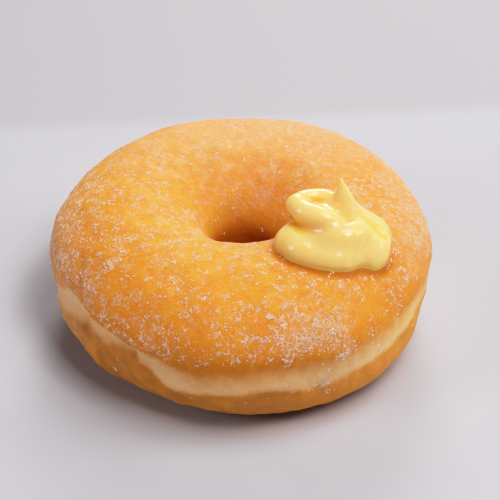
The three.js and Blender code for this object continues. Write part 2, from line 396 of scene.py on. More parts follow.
def new_piece(name, points, faces, material):
    """A mesh object from points in millimetres round the ring's axis."""
    mesh = bpy.data.meshes.new(name)
    points = np.asarray(points) + AXIS
    faces = np.asarray(faces)
    mesh.vertices.add(len(points))
    mesh.vertices.foreach_set("co", (points * MM).astype(np.float32).ravel())
    mesh.loops.add(faces.size)
    mesh.loops.foreach_set("vertex_index", faces.ravel().astype(np.int32))
    mesh.polygons.add(len(faces))
    mesh.polygons.foreach_set("loop_start", np.arange(len(faces), dtype=np.int32) * faces.shape[1])
    mesh.polygons.foreach_set("use_smooth", np.full(len(faces), True))
    mesh.update(calc_edges=True)
    mesh.validate()
    mesh.materials.append(material)
    piece = bpy.data.objects.new(name, mesh)
    bpy.context.scene.collection.objects.link(piece)
    return piece


def give_values(piece, name, values):
    """A number for every point of the piece, which its finish reads by name."""
    attribute = piece.data.attributes.new(name, "FLOAT", "POINT")
    attribute.data.foreach_set("value", np.asarray(values, np.float32))


def give_map(piece, corners):
    """A flat map of the surface for baked finishes: two numbers for every corner of every face."""
    layer = piece.data.uv_layers.new(name="OFBake")
    layer.uv.foreach_set("vector", np.asarray(corners, np.float32).ravel())


def feed(tree, node, inputs):
    """Gives a node's inputs values or other nodes' outputs."""
    for socket, value in inputs.items():
        if isinstance(value, bpy.types.NodeSocket):
            tree.links.new(value, node.inputs[socket])
        else:
            node.inputs[socket].default_value = value


def place_node(tree, kind, inputs, **settings):
    """Adds a node, sets it up and feeds its inputs."""
    node = tree.nodes.new(kind)
    for name, value in settings.items():
        setattr(node, name, value)
    feed(tree, node, inputs)
    return node


def value_of(tree, name):
    """The number that give_values gave to each point."""
    return place_node(tree, "ShaderNodeAttribute", {}, attribute_name=name).outputs["Fac"]


def maths(tree, operation, first, second=0.0, third=0.0):
    return place_node(tree, "ShaderNodeMath", {0: first, 1: second, 2: third},
                      operation=operation).outputs[0]


def ramp(tree, value, low, high, start=0.0, end=1.0):
    """A smooth change from start to end while the value goes from low to high."""
    return place_node(tree, "ShaderNodeMapRange",
                      {"Value": value, "From Min": low, "From Max": high,
                       "To Min": start, "To Max": end},
                      interpolation_type="SMOOTHSTEP").outputs["Result"]


def mix_colour(tree, share, first, second):
    """The first colour where the share is 0, going over to the second where it is 1."""
    node = place_node(tree, "ShaderNodeMix", {"Factor": share}, data_type="RGBA")
    for socket, value in ((6, first), (7, second)):  # its two colour inputs
        opaque = value if isinstance(value, bpy.types.NodeSocket) else (*value[:3], 1.0)
        feed(tree, node, {socket: opaque})
    return node.outputs[2]


def new_material(name):
    """A material with its node tree, its surface shader and places measured on the piece itself."""
    material = bpy.data.materials.new(name)
    material.use_nodes = True
    tree = material.node_tree
    tree.nodes.clear()
    surface = tree.nodes.new("ShaderNodeBsdfPrincipled")
    output = tree.nodes.new("ShaderNodeOutputMaterial")
    feed(tree, output, {"Surface": surface.outputs[0]})
    own_place = tree.nodes.new("ShaderNodeTexCoord").outputs["Object"]
    return material, tree, surface, own_place


def patches_group():
    """A node group shared by the finishes: soft patches and fine specks over a surface."""
    name = "Patches"
    if name in bpy.data.node_groups:
        return bpy.data.node_groups[name]
    tree = bpy.data.node_groups.new(name, "ShaderNodeTree")
    for socket, kind, default in (("Place", "NodeSocketVector", None),
                                  ("Size", "NodeSocketFloat", 0.01),
                                  ("Roughness", "NodeSocketFloat", 0.5),
                                  ("Low", "NodeSocketFloat", 0.35),
                                  ("High", "NodeSocketFloat", 0.65)):
        made = tree.interface.new_socket(name=socket, in_out="INPUT", socket_type=kind)
        if default is not None:
            made.default_value = default
    tree.interface.new_socket(name="Mask", in_out="OUTPUT", socket_type="NodeSocketFloat")
    tree.interface.new_socket(name="Height", in_out="OUTPUT", socket_type="NodeSocketFloat")
    inlet = tree.nodes.new("NodeGroupInput").outputs
    outlet = tree.nodes.new("NodeGroupOutput")
    scale = maths(tree, "DIVIDE", 1.0, inlet["Size"])
    noise = place_node(tree, "ShaderNodeTexNoise",
                       {"Vector": inlet["Place"], "Scale": scale, "Detail": 4.0,
                        "Roughness": inlet["Roughness"]}).outputs[0]
    mask = place_node(tree, "ShaderNodeMapRange",
                      {"Value": noise, "From Min": inlet["Low"], "From Max": inlet["High"]},
                      interpolation_type="SMOOTHSTEP").outputs["Result"]
    feed(tree, outlet, {"Mask": mask, "Height": noise})
    return tree


def patches(tree, own_place, size, low=0.35, high=0.65, roughness=0.5):
    """Soft patches of about the given size in metres, as a mask and as a height."""
    return place_node(tree, "ShaderNodeGroup",
                      {"Place": own_place, "Size": size, "Low": low, "High": high,
                       "Roughness": roughness}, node_tree=patches_group()).outputs


def show_as(piece, slot, *nodes):
    """The piece rides on the doughnut's body and stands for the named CAD nodes."""
    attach(piece, BODY)
    if nodes:
        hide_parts(*nodes)


# ---------- dough ----------


def ring_sizes(sizes, angle):
    """The dough's sizes in millimetres at each angle: it swells and tilts going round."""

    def swell(waves):
        return sum(size * np.cos(count * (angle - math.radians(peak)))
                   for count, size, peak in waves)

    return {
        "girth": sizes.girth_radius / MM + swell(GIRTH_SWELL),
        "girth_height": GIRTH_HEIGHT + swell(GIRTH_TILT),
        "crest": np.full_like(angle, sizes.crest_radius / MM),
        "crest_height": sizes.crest_height / MM + swell(CREST_SWELL),
        "neck": np.full_like(angle, sizes.neck_radius / MM),
        "foot": FOOT_OUTER_RADIUS + swell(FOOT_SWELL),
    }


def quarter(fullness, steps):
    """Level and rise along one superellipse quarter, without its last point."""
    turn = np.arange(steps) / steps * (math.pi / 2.0)
    return np.cos(turn) ** (2.0 / fullness), np.sin(turn) ** (2.0 / fullness)


def ring_points(sizes):
    """The smooth ring as a grid of points: round the ring, then round its section."""
    angle = np.arange(ROUND_STEPS) / ROUND_STEPS * 2.0 * math.pi
    ring = {name: value[:, None] for name, value in ring_sizes(sizes, angle).items()}
    foot, girth, crest, neck = (ring[name] for name in ("foot", "girth", "crest", "neck"))
    share = np.arange(SECTION_STEPS["foot"]) / SECTION_STEPS["foot"]
    runs = [(FOOT_INNER_RADIUS + (foot - FOOT_INNER_RADIUS) * share, 0.0 * share)]
    level, rise = quarter(BELLY_FULLNESS, SECTION_STEPS["belly"])
    runs.append((foot + (girth - foot) * rise, ring["girth_height"] * (1.0 - level)))
    level, rise = quarter(DOME_FULLNESS, SECTION_STEPS["dome"])
    runs.append((crest + (girth - crest) * level,
                 ring["girth_height"] + (ring["crest_height"] - ring["girth_height"]) * rise))
    level, rise = quarter(FUNNEL_FULLNESS, SECTION_STEPS["funnel"])
    runs.append((crest - (crest - neck) * rise,
                 NECK_HEIGHT + (ring["crest_height"] - NECK_HEIGHT) * level))
    level, rise = quarter(UNDERCUT_FULLNESS, SECTION_STEPS["undercut"])
    runs.append((FOOT_INNER_RADIUS - (FOOT_INNER_RADIUS - neck) * level,
                 NECK_HEIGHT * (1.0 - rise)))
    radius, height = (np.concatenate(part, axis=1)
                      for part in zip(*(np.broadcast_arrays(*run) for run in runs)))
    return rings_of(radius, angle[:, None], height)


def grid_normals(grid):
    """The outward direction at each point of a grid that closes on itself both ways."""
    round_way = np.roll(grid, -1, axis=0) - np.roll(grid, 1, axis=0)
    section_way = np.roll(grid, -1, axis=1) - np.roll(grid, 1, axis=1)
    normal = np.cross(round_way, section_way)
    return normal / np.maximum(np.linalg.norm(normal, axis=2, keepdims=True), 1e-9)


def grid_faces(rounds, sections):
    """Quads over a grid of points that closes on itself both ways."""
    first = np.arange(rounds)[:, None] * sections + np.arange(sections)
    right = np.roll(first, -1, axis=0)
    return np.stack([first, right, np.roll(right, -1, axis=1), np.roll(first, -1, axis=1)],
                    axis=2).reshape(-1, 4)


def dough_relief(points, degrees, puff):
    """How far the dough stands out from the smooth ring, in millimetres."""
    height = points[:, 2]
    relief = puff * layered_noise(points, RISEN_DOUGH)

    # The side is crinkled and finely pleated, more so the lower it is.
    crinkle = layered_noise(points, CRINKLES) + layered_noise(points * UPRIGHT, FINE_PLEATS)
    relief += puff * crinkle * smooth_step(height, 22.0, 12.0)

    # The waist runs along the band, a little above the band's own middle.
    lower, upper = around(BAND_LOWER, degrees), around(BAND_UPPER, degrees)
    middle = lower * 0.45 + upper * 0.55
    width = np.maximum(upper - lower, 3.0)
    hollow = np.exp(-(((height - middle) / (0.55 * width)) ** 2))
    outside = smooth_step(across(points), FOOT_OUTER_RADIUS, 40.0)
    relief -= around(GROOVE_DEPTH, degrees) * hollow * outside

    for _, path, spread, depth in FURROWS:
        gap, _ = to_path(points, path)
        relief -= depth * np.exp(-((gap / spread) ** 2))

    # The slumped shoulder is a step across its line that fades in from the line's upper end.
    gap, along = to_path(points, SHOULDER_LINE)
    turn = turn_of(np.array(SHOULDER_LINE))
    behind = np.interp(along, np.linspace(0.0, 1.0, len(turn)), turn) - degrees
    relief -= (SHOULDER_STEP * smooth_step(behind, -1.2, 2.2)
               * np.exp(-((gap / SHOULDER_REACH) ** 2)) * smooth_step(along, 0.0, 0.3))
    return relief * smooth_step(height, 0.0, 3.0)  # the foot stays flat


def sugar_thickness(points, over_upper):
    """How much sugar lies at each place: 1 is the usual coat on top."""
    drifts = layered_noise(points, SUGAR_DRIFTS)
    facing = 1.0 - 0.25 * smooth_step(points[:, 1], -5.0, -38.0)
    coat = facing * smooth_step(over_upper, 0.0, 4.0) * np.clip(0.95 + drifts, 0.2, None)
    clumps = np.clip(1.0 + 1.6 * drifts, 0.0, None)
    for place, reach, more in SUGAR_PATCHES:
        gap = np.linalg.norm(points - place, axis=1)
        coat += 0.6 * more * np.exp(-((gap / reach) ** 2)) * clumps
    thinnest, thickest = SUGAR_LIMIT
    coat = thickest * np.tanh(np.maximum(coat, thinnest) / thickest)

    # It thins out down the hole and down the outside.
    low = np.where(across(points) < HOLE_REACH, 20.0, 3.0)
    return coat * np.maximum(smooth_step((points[:, 2] - low) / 12.0, 0.0, 1.0), 0.02)


def powder_and_sheen_thickness(points):
    """How thickly the finest sugar powder veils the crust, together with a painted sheen at the
    back and on the left and right, where the crust is seen edge-on: from 0 to 1.
    """
    x, y, z = points.T
    back = smooth_step(y, -6.0, 40.0) * (1.0 - 0.4 * smooth_step(x, 0.0, -34.0))
    left = smooth_step(x, -37.0, -47.0)
    right = smooth_step(x, 33.0, 43.0) * smooth_step(y, -27.0, -12.0)
    return (0.24 * back + 0.16 * right) * smooth_step(z, 20.0, 27.0) + 0.18 * left


def crust_values(points, degrees, sizes):
    """What the crust's finish and the sugar need to know at each point, by name.

    The angles are those of the smooth ring's points, before its relief moved them."""
    height = points[:, 2]
    inside = across(points) < sizes.crest_radius / MM

    # Heights above the band's edges. The hole has no band: it is brown only at its very bottom.
    over_upper = height - around(BAND_UPPER, degrees)
    over_upper[inside] = np.maximum(over_upper[inside], 6.0)
    over_lower = height - around(BAND_LOWER, degrees)
    over_lower[inside] = np.where(height[inside] > 6.0, 20.0, -5.0)

    above = smooth_step(over_upper, 8.0, 1.5) * smooth_step(over_lower, -1.0, 1.0)
    below = smooth_step(over_lower, 0.5, -0.5)
    # Painted shade: the crust darkens towards the floor, where it lies in shade under the belly.
    foot_shade = 0.7 * smooth_step(height, 6.0, 1.0)
    toasting_and_foot_shade = (above * around(TOASTING, degrees)
                + below * (around(LOWER_TOASTING, degrees) + foot_shade))
    mottle = layered_noise(points, BROWN_MOTTLE) + layered_noise(points * UPRIGHT, BROWN_STREAKS)
    # A painted contact shade round the custard, also taken as moist crust with less sugar.
    rim = shaded_moist_rim(points, sizes)
    return {
        "over_upper": over_upper,
        "over_lower": over_lower,
        "band_fade": around(BAND_FADE, degrees),
        "toasting_and_foot_shade": np.clip(toasting_and_foot_shade * (1.0 + 0.9 * mottle), 0.0, 1.3),
        "shaded_moist_rim": rim,
        "sugar": sugar_thickness(points, over_upper) * (1.0 - 0.8 * rim),
        # Sugar powder and a painted sheen at the back and sides.
        "powder": powder_and_sheen_thickness(points),
        "frying": (smooth_step(points @ FRYING_SIDE, -25.0, 40.0)
                   * smooth_step(across(points), 14.0, 32.0)),
        "hole_depth": np.where(inside, HOLE_LIP - height, 0.0),
    }


def crust_material(finishes):
    """Golden above the pale band and browner below it, mottled and hazed with sugar powder and a
    painted sheen, with painted shade deep in the hole, at the foot and round the custard.
    """
    material, tree, surface, own_place = new_material("fried crust")
    over_lower, over_upper, depth, frying = (
        value_of(tree, name) for name in ("over_lower", "over_upper", "hole_depth", "frying"))
    golden = finishes.golden
    broad = patches(tree, own_place, 0.010, 0.36, 0.66)
    blotch = patches(tree, own_place, 0.0030, 0.40, 0.62, 0.6)
    fine = patches(tree, own_place, 0.0009, 0.3, 0.7)

    # Golden crust, mottled with lighter yellow and deeper orange.
    colour = mix_colour(tree, broad["Mask"], tinted(golden, (1.0, 1.05, 1.15)), golden)
    colour = mix_colour(tree, maths(tree, "MULTIPLY", blotch["Mask"], 0.7), colour,
                        tinted(golden, (0.97, 0.85, 0.72)))

    # Fried a little more towards the back and right.
    colour = mix_colour(tree, frying, colour, tinted(golden, (0.99, 0.80, 0.7)))

    # The lower crust is a duller, paler brown.
    under = ramp(tree, over_lower, 1.0, -1.0)
    colour = mix_colour(tree, under, colour, LOWER_CRUST)

    # Browner just above the band and on the lower crust, and darkest at the foot as painted shade.
    browned = mix_colour(tree, under, finishes.toasted, LOWER_BROWN)
    colour = mix_colour(tree, value_of(tree, "toasting_and_foot_shade"), colour, browned)

    # The pale band: its lower edge is soft and its upper one fades over its own width.
    wobble = maths(tree, "MULTIPLY_ADD", fine["Height"], 1.1,
                   maths(tree, "MULTIPLY_ADD", blotch["Height"], 3.2, -2.15))
    low_side = ramp(tree, maths(tree, "ADD", over_lower, wobble), -1.2, 1.2)
    fall = maths(tree, "DIVIDE", maths(tree, "ADD", over_upper, wobble),
                 value_of(tree, "band_fade"))
    high_side = ramp(tree, fall, 0.15, -1.0)
    band = maths(tree, "MULTIPLY", low_side, high_side)
    tan = maths(tree, "MULTIPLY_ADD", blotch["Mask"], 0.5, maths(tree, "MULTIPLY", frying, 0.7))
    pale = mix_colour(tree, tan, finishes.pale, tinted(finishes.pale, (0.97, 0.86, 0.68)))
    colour = mix_colour(tree, band, colour, pale)

    # Yellower on the walls of the hole.
    colour = mix_colour(tree, ramp(tree, depth, 3.0, 12.0, 0.0, 0.65), colour, HOLE_WALL)

    # A thin haze of sugar powder between the crystals, drifting off the browner blotches.
    powder = patches(tree, own_place, 0.0013, 0.40, 0.6, 0.7)
    drift = maths(tree, "MULTIPLY_ADD", blotch["Mask"], -0.6, 1.0)
    coat = maths(tree, "MULTIPLY", ramp(tree, value_of(tree, "sugar"), 0.45, 1.7, 0.01, 0.48),
                 ramp(tree, over_lower, -1.0, 1.0, 0.2, 1.0))
    haze = maths(tree, "MULTIPLY", maths(tree, "MULTIPLY", powder["Mask"], drift), coat)
    # The veil is sugar powder together with a painted sheen at the back and sides.
    veil_and_sheen = maths(tree, "MULTIPLY", value_of(tree, "powder"),
                 maths(tree, "ADD", powder["Height"], 0.5))
    colour = mix_colour(tree, maths(tree, "ADD", haze, veil_and_sheen), colour, finishes.powder)

    # Painted shade: dark at the bottom of the hole; and a painted contact shade, taken as moist
    # crust, close round the custard.
    colour = mix_colour(tree, ramp(tree, depth, 12.0, 19.0), colour, finishes.hole)
    colour = mix_colour(tree, value_of(tree, "shaded_moist_rim"), colour, SHADED_MOIST_CRUST)

    pores = patches(tree, own_place, 0.0006, 0.3, 0.7, 0.6)
    height = maths(tree, "ADD", maths(tree, "MULTIPLY", fine["Height"], 0.6),
                   maths(tree, "MULTIPLY", pores["Height"], 0.3))
    bump = place_node(tree, "ShaderNodeBump",
                      {"Strength": 0.5, "Distance": 0.0005, "Height": height})
    feed(tree, surface, {
        "Base Color": colour, "Normal": bump.outputs[0],
        "Roughness": ramp(tree, fine["Height"], 0.3, 0.7, 0.55, 0.75),
        "Specular IOR Level": 0.22, "Subsurface Weight": 0.5,
        "Subsurface Radius": (1.0, 0.5, 0.2), "Subsurface Scale": 0.0025,
    })
    return material


def grid_map(rounds, sections):
    """The corners of grid_faces laid out flat, once round the ring by once round its section."""
    place = np.stack(np.meshgrid(np.arange(rounds), np.arange(sections), indexing="ij"), -1)
    corners = place[:, :, None] + np.array([(0, 0), (1, 0), (1, 1), (0, 1)])
    return corners / (rounds, sections)


class DOUGHNUT_OT_dough(bpy.types.Operator):
    """Builds the risen, fried dough ring with its pale band, folds and dents"""

    bl_idname = "doughnut.dough"
    bl_label = "Dough ring"

    def execute(self, context):
        sizes = context.scene.dough_sizes
        grid = ring_points(sizes)
        sections = grid.shape[1]
        points = grid.reshape(-1, 3)
        degrees = turn_of(points)
        relief = dough_relief(points, degrees, sizes.puff)
        points = points + grid_normals(grid).reshape(-1, 3) * relief[:, None]
        points[:, 2] = np.maximum(points[:, 2], 0.0)
        piece = new_piece("fried_dough_ring", points, grid_faces(ROUND_STEPS, sections),
                          crust_material(context.scene.finishes))
        give_map(piece, grid_map(ROUND_STEPS, sections))
        for name, values in crust_values(points, degrees, sizes).items():
            give_values(piece, name, values)
        show_as(piece, "fried_dough", "dough_ring")
        return {"FINISHED"}


# ---------- custard ----------


def join_smoothly(first, second, reach):
    """The union of two distance fields, rounded where they meet."""
    if reach <= 0.0:
        return np.minimum(first, second)
    overlap = np.maximum(reach - np.abs(first - second), 0.0) / reach
    return np.minimum(first, second) - overlap * overlap * reach * 0.25


def strand_curve(strand):
    """The strand's points along a smooth curve through its centreline."""
    points = np.array(strand)
    ends = np.vstack([2 * points[0] - points[1], points, 2 * points[-1] - points[-2]])
    curve = []
    for index in range(len(points) - 1):
        before, start, end, after = ends[index:index + 4]
        for share in np.arange(STRAND_STEPS) / STRAND_STEPS:
            curve.append(0.5 * (2 * start + (end - before) * share
                                + (2 * before - 5 * start + 4 * end - after) * share ** 2
                                + (3 * start - before - 3 * end + after) * share ** 3))
    curve.append(points[-1])
    return np.array(curve)


def box_round(curve, margin):
    """The two far corners of a box round a strand, or round several, with a margin."""
    return ((curve[:, :3] - curve[:, 3:]).min(0) - margin,
            (curve[:, :3] + curve[:, 3:]).max(0) + margin)


def box_round_custard(margin):
    return box_round(np.concatenate([strand_curve(s) for s in CUSTARD_STRANDS.values()]), margin)


def within(points, low, high):
    return np.all((points > low) & (points < high), axis=1)


def strand_field(points, strand):
    """Distance of each point from the surface of a round strand that changes in thickness."""
    curve = strand_curve(strand)
    near = within(points, *box_round(curve, STRAND_REACH))
    field = np.full(len(points), OUT_OF_REACH)
    close = points[near]
    nearest = np.full(len(close), OUT_OF_REACH)
    for start, end in zip(curve[:-1], curve[1:]):
        run = end[:3] - start[:3]
        share = np.clip((close - start[:3]) @ run / (run @ run), 0.0, 1.0)
        gap = np.linalg.norm(close - start[:3] - share[:, None] * run, axis=1)
        nearest = np.minimum(nearest, gap - start[3] - (end[3] - start[3]) * share)
    field[near] = nearest
    return field


def dough_field(points, sizes):
    """Roughly how far each point is above the ring's upper side."""
    angle = np.arctan2(points[:, 1], points[:, 0])
    ring = ring_sizes(sizes, angle)
    radius = across(points)
    outside = radius >= ring["crest"]
    width = np.where(outside, ring["girth"] - ring["crest"], ring["crest"] - ring["neck"])
    base = np.where(outside, ring["girth_height"], NECK_HEIGHT)
    rise = ring["crest_height"] - base
    power = np.where(outside, DOME_FULLNESS, FUNNEL_FULLNESS)
    level = np.abs(radius - ring["crest"]) / width
    up = np.maximum(points[:, 2] - base, 0.0) / rise
    reach = np.maximum((level ** power + up ** power) ** (1.0 / power), 1e-6)
    slope = np.hypot((level / reach) ** (power - 1.0) / width, (up / reach) ** (power - 1.0) / rise)
    return (reach - 1.0) / np.maximum(slope, 1e-6)


def crust_field(points, sizes):
    """Roughly how far each point is above the uneven crust."""
    over = dough_field(points, sizes)
    near = np.abs(over) < RELIEF_REACH
    over[near] -= dough_relief(points[near], turn_of(points[near]), sizes.puff)
    return over


def custard_field(points, sizes):
    """Roughly how far each point is outside the custard; inside it is below 0."""
    field = np.full(len(points), OUT_OF_REACH)
    for name, how, reach in CUSTARD_STEPS:
        strand = strand_field(points, CUSTARD_STRANDS[name])
        if how == "join":
            field = join_smoothly(field, strand, reach)
        else:
            field = -join_smoothly(-field, strand, reach)

    # It curves out a little onto the crust, and its underside lies just inside it.
    crust = crust_field(points, sizes)
    spread = join_smoothly(field, crust + CUSTARD_LIFT, CUSTARD_FILLET)
    field = np.maximum(spread, field - CUSTARD_FILLET)
    return -join_smoothly(-field, crust + CUSTARD_SINK, UNDERSIDE_ROUNDING)


def shaded_moist_rim(points, sizes):
    """How strongly the crust beside the custard gets a painted contact shade, and is taken as
    moist: 1 at its front edge, 0 out of reach or behind.
    """
    rim = np.zeros(len(points))
    near = within(points, *box_round_custard(STRAND_REACH))
    rim[near] = smooth_step(custard_field(points[near], sizes), RIM_REACH, 0.2)
    return RIM_STRENGTH * rim * smooth_step(points[:, 1], *RIM_FRONT)


def surface_of(field, low, cell):
    """Points and quads on the zero level of a field sampled on a grid (surface nets)."""
    inside = field < 0.0
    corners = list(itertools.product((0, 1), repeat=3))
    cells = tuple(size - 1 for size in field.shape)

    def part(array, offset):
        return array[tuple(slice(o, o + c) for o, c in zip(offset, cells))]

    # Each cell that the surface passes through gets one point, amid its edges' crossings.
    count = sum(part(inside, corner).astype(int) for corner in corners)
    mixed = (count > 0) & (count < len(corners))
    total = np.zeros((int(mixed.sum()), 3))
    crossings = np.zeros(len(total))
    for first, second in itertools.combinations(corners, 2):
        if sum(a != b for a, b in zip(first, second)) != 1:
            continue
        start, end = part(field, first)[mixed], part(field, second)[mixed]
        cross = (start < 0.0) != (end < 0.0)
        share = np.where(cross, start / np.where(cross, start - end, 1.0), 0.0)
        spot = np.array(first) + share[:, None] * (np.array(second) - np.array(first))
        total += np.where(cross[:, None], spot, 0.0)
        crossings += cross
    index = np.full(cells, -1)
    index[mixed] = np.arange(len(total))
    points = low + (np.argwhere(mixed) + total / crossings[:, None]) * cell

    # Each grid edge that the surface crosses gets a quad between its four cells' points.
    faces = []
    step = np.eye(3, dtype=int)
    for axis in range(3):
        other, last = step[(axis + 1) % 3], step[(axis + 2) % 3]
        edges = [slice(1, size) for size in cells]
        edges[axis] = slice(0, cells[axis])
        ahead = [slice(run.start + more, run.stop + more) for run, more in zip(edges, step[axis])]
        start = inside[tuple(edges)]
        crossed = start != inside[tuple(ahead)]
        place = np.argwhere(crossed) + 1 - step[axis]
        quad = np.stack([index[tuple((place - back).T)]
                         for back in (other + last, last, 0 * last, other)], axis=1)
        inward = ~start[crossed]
        quad[inward] = quad[inward][:, ::-1]
        faces.append(quad)
    return points, np.concatenate(faces)


def custard_slope(points, sizes, reach=0.05):
    """Which way and how fast the custard's field grows at each point."""
    return np.stack([custard_field(points + reach * axis, sizes)
                     - custard_field(points - reach * axis, sizes)
                     for axis in np.eye(3)], axis=1) / (2.0 * reach)


def settle(points, sizes, rounds=2):
    """Moves points onto the custard's surface along its slope."""
    for _ in range(rounds):
        slope = custard_slope(points, sizes)
        size = np.maximum((slope ** 2).sum(1, keepdims=True), 0.25)
        value = custard_field(points, sizes)[:, None]
        points = points - np.clip(value * slope / size, -0.1, 0.1)
    return points


def painted_fold_shade(points, sizes):
    """How deep each point lies in a fold, under one or by the crust, as the amount of painted shade
    it gets: from 0 in the open to 1.
    """
    outward = custard_slope(points, sizes)
    outward /= np.maximum(np.linalg.norm(outward, axis=1, keepdims=True), 1e-6)
    clear = custard_field(points + FOLD_REACH * outward, sizes) / FOLD_REACH
    over_crust = crust_field(points, sizes)
    # Painted shade: deeper colour by the crust and on faces turned downwards.
    crust_side_shade = 0.55 * smooth_step(over_crust, 1.8, 0.0)
    underside_shade = 0.75 * smooth_step(outward[:, 2], 0.1, -0.7) * smooth_step(over_crust, 0.5, 3.0)
    return np.maximum(smooth_step(clear, 0.85, 0.15), np.maximum(crust_side_shade, underside_shade))


def custard_material(finishes):
    """Wet, pale yellow and a little see-through, with painted shade making it yellower in its
    folds.
    """
    material, tree, surface, own_place = new_material("custard")
    soft = patches(tree, own_place, 0.006, 0.35, 0.7)
    colour = mix_colour(tree, maths(tree, "MULTIPLY", soft["Mask"], 0.5), finishes.custard,
                        tinted(finishes.custard, (1.0, 0.93, 0.8)))
    # Painted shade: deeper yellow in the folds, underneath and by the crust.
    colour = mix_colour(tree, maths(tree, "MULTIPLY", value_of(tree, "fold"), 0.85), colour,
                        finishes.custard_fold_shade)
    feed(tree, surface, {
        "Base Color": colour, "Roughness": ramp(tree, soft["Height"], 0.3, 0.7, 0.11, 0.18),
        "IOR": 1.42, "Subsurface Weight": 1.0,
        "Subsurface Radius": (0.8, 0.8, 0.4), "Subsurface Scale": 0.0035,
    })
    return material


class DOUGHNUT_OT_custard(bpy.types.Operator):
    """Builds the piped custard: folded strands that flow together and end in a peak"""

    bl_idname = "doughnut.custard"
    bl_label = "Custard swirl"

    def execute(self, context):
        sizes = context.scene.dough_sizes
        cell = context.scene.custard_sizes.cell / MM
        low, high = box_round_custard(CUSTARD_MARGIN)
        low[2] = CUSTARD_BOTTOM
        shape = tuple(np.ceil((high - low) / cell).astype(int))
        place = np.stack(np.indices(shape), -1)
        field = custard_field(low + place.reshape(-1, 3) * cell, sizes).reshape(shape)
        points, faces = surface_of(field, low, cell)
        if not len(faces):
            raise RuntimeError("the custard has no surface")
        points = settle(points, sizes)
        piece = new_piece("piped_custard", points, faces,
                          custard_material(context.scene.finishes))
        give_values(piece, "fold", painted_fold_shade(points, sizes))
        show_as(piece, "custard", "custard_swirl")
        return {"FINISHED"}


# ---------- sugar ----------

# A grain's points, for a grain 1 across that lies flat, and its faces.
CRYSTAL_BLOCK = (
    ((-0.5, -0.42, -0.16), (0.5, -0.42, -0.16), (0.5, 0.42, -0.16), (-0.5, 0.42, -0.16),
     (-0.30, -0.30, 0.09), (0.36, -0.22, 0.11), (0.30, 0.30, 0.09), (-0.36, 0.22, 0.11)),
    ((0, 3, 2), (0, 2, 1), (4, 5, 6), (4, 6, 7), (0, 1, 5), (0, 5, 4), (1, 2, 6), (1, 6, 5),
     (2, 3, 7), (2, 7, 6), (3, 0, 4), (3, 4, 7)),
)
DUST_SPECK = (
    ((0.5, -0.3, -0.1), (-0.5, -0.3, -0.1), (0.0, 0.55, -0.1), (0.0, 0.0, 0.2)),
    ((0, 1, 2), (1, 0, 3), (0, 2, 3), (2, 1, 3)),
)
# Each kind of sugar: its grain, its smallest and largest size in millimetres, how strongly it
# gathers where the coat is thick, what share of it is missing at the back, and its seed.
SUGAR_KINDS = {
    "crystals": (CRYSTAL_BLOCK, 0.34, 0.6, 1.7, 0.75, 31),
    "grains": (CRYSTAL_BLOCK, 0.22, 0.4, 1.3, 0.45, 32),
    "dust": (DUST_SPECK, 0.13, 0.26, 1.1, 0.0, 33),
}
SPARSE_SUGAR = (-25.0, 20.0)  # between these depths grains go missing towards the back
GRAIN_STRETCH = (0.75, 1.25)
GRAIN_TILT = 0.13
GRAIN_LIFT = 0.06  # how far a grain's middle stands above the crust, as a share of its size
CLUMP_SIZE = 3.2  # how many grains cling together, on average
CLUMP_SPREAD = 0.31


def laid_flat(rng, points, normal):
    """Each grain's points lying on the crust, a little tilted and turned any way round."""
    up = normal + GRAIN_TILT * rng.normal(size=normal.shape)
    up /= np.linalg.norm(up, axis=1, keepdims=True)
    side = np.cross(up, rng.normal(size=normal.shape))
    side /= np.linalg.norm(side, axis=1, keepdims=True)
    frame = np.stack([side, np.cross(up, side), up], axis=1)
    return points @ frame


def sprinkle(rng, mesh, count, sharpness, forward):
    """Places and outward directions for clumps of grains, more where the sugar is thicker.

    Forward is the share of the grains that is missing towards the back of the ring."""
    mesh.calc_loop_triangles()
    corners = np.zeros(len(mesh.loop_triangles) * 3, np.int32)
    mesh.loop_triangles.foreach_get("vertices", corners)
    corners = corners.reshape(-1, 3)
    points = np.zeros(len(mesh.vertices) * 3)
    mesh.vertices.foreach_get("co", points)
    points = points.reshape(-1, 3) / MM - AXIS
    sugar = np.zeros(len(mesh.vertices))
    mesh.attributes["sugar"].data.foreach_get("value", sugar)
    first, second, third = (points[corners[:, i]] for i in range(3))
    normal = np.cross(second - first, third - first)
    area = np.linalg.norm(normal, axis=1)
    normal /= np.maximum(area[:, None], 1e-12)
    weight = area * sugar[corners].mean(1) ** sharpness
    weight *= 1.0 - forward * smooth_step(first[:, 1], *SPARSE_SUGAR)
    clumps = max(int(count / CLUMP_SIZE), 1)
    chosen = rng.choice(len(corners), clumps, p=weight / weight.sum())
    share = np.sqrt(rng.random(clumps))[:, None]
    along = rng.random(clumps)[:, None]
    place = (first[chosen] * (1 - share) + second[chosen] * share * (1 - along)
             + third[chosen] * share * along)
    member = (clumps * rng.random(count) ** 1.4).astype(int)  # early clumps gather more grains
    place, normal = place[member], normal[chosen][member]
    shift = CLUMP_SPREAD * rng.normal(size=(count, 3))
    shift -= (shift * normal).sum(1, keepdims=True) * normal
    return place + shift, normal


def grain_map(count, faces):
    """Each grain gets its own cell of a square sheet, and all its faces lie over each other."""
    columns = math.ceil(math.sqrt(count))
    cell = np.stack(np.divmod(np.arange(count), columns), 1)[:, None, None]
    corners = np.array([(0.2, 0.2), (0.8, 0.2), (0.5, 0.8)])
    return (cell + np.broadcast_to(corners, (count, faces, 3, 2))) / columns


def shade_lift_at(place):
    """How much painted light brightens the sugar: low down and on the left, where it lies in shade.
    """
    low = smooth_step(place[:, 2], 31.0, 23.0)
    left = smooth_step(place[:, 0], -35.0, -46.0)
    return 0.85 * np.maximum(low, 0.8 * left)


